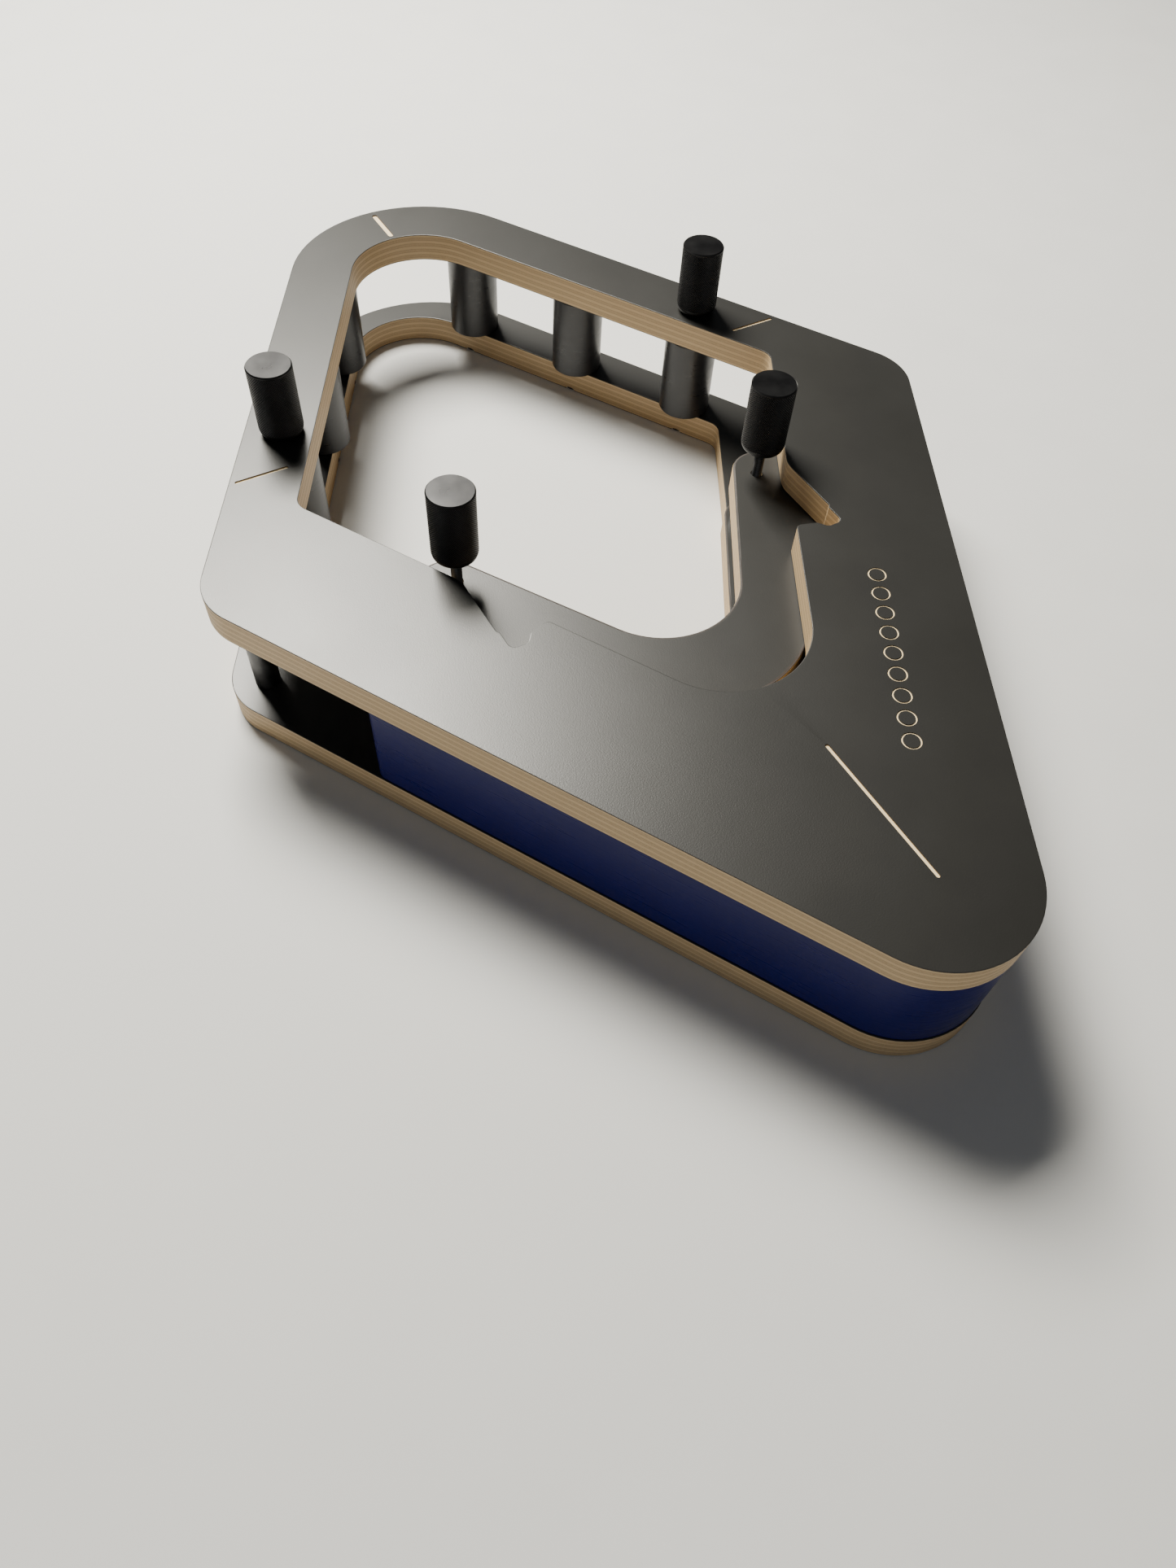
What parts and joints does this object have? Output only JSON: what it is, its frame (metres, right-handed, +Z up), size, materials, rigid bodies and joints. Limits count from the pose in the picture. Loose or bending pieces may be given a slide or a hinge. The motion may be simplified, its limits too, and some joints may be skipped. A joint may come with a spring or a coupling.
{
  "type": "billiard ball rack",
  "caption": "Diamond ball rack: two black plywood decks around a blue corner block, a sliding V between them that squeezes the balls tight, and knurled upright handles.",
  "frame": {"origin": "on the underside, under the middle of the rack's bounding box", "axes": "+X along the long axis to the front corner, +Z up"},
  "size_m": [0.4268, 0.2902, 0.0864],
  "materials": {
    "film_faced_ply": "black phenolic film with a fine pebble texture on both faces, bare light plywood laminations on every edge",
    "blue_plastic": "smooth deep blue",
    "black_plastic": "smooth satin black",
    "black_anodised": "black, diamond-knurled side, brushed top face",
    "dark_steel": "dark oxide"
  },
  "bodies": {
    "frame": {"ball_stop_front_left": "black_plastic", "ball_stop_front_right": "black_plastic", "ball_stop_middle_left": "black_plastic", "ball_stop_middle_right": "black_plastic", "ball_stop_side_left": "black_plastic", "ball_stop_side_right": "black_plastic", "bottom_deck": "film_faced_ply", "core_screw_left": "dark_steel", "core_screw_rear": "dark_steel", "core_screw_right": "dark_steel", "corner_core": "blue_plastic", "corner_post_left": "dark_steel", "corner_post_right": "dark_steel", "frame_knob_left": "black_anodised", "frame_knob_right": "black_anodised", "frame_stud_left": "dark_steel", "frame_stud_right": "dark_steel", "post_screw_left": "dark_steel", "post_screw_right": "dark_steel", "stop_screw_front_left": "dark_steel", "stop_screw_front_right": "dark_steel", "stop_screw_middle_left": "dark_steel", "stop_screw_middle_right": "dark_steel", "top_deck": "film_faced_ply"},
    "slider": {"slider_knob_left": "black_anodised", "slider_knob_right": "black_anodised", "slider_lower_plate": "film_faced_ply", "slider_screw_rear": "dark_steel", "slider_spacer_left": "black_plastic", "slider_spacer_rear": "black_plastic", "slider_spacer_right": "black_plastic", "slider_stud_left": "dark_steel", "slider_stud_right": "dark_steel", "slider_upper_plate": "film_faced_ply"}
  },
  "joints": [
    {"name": "slider_slide", "type": "slide", "parent": "frame", "child": "slider", "axis": [1, 0, 0], "range_m": [-0.042, 0.01]}
  ]
}
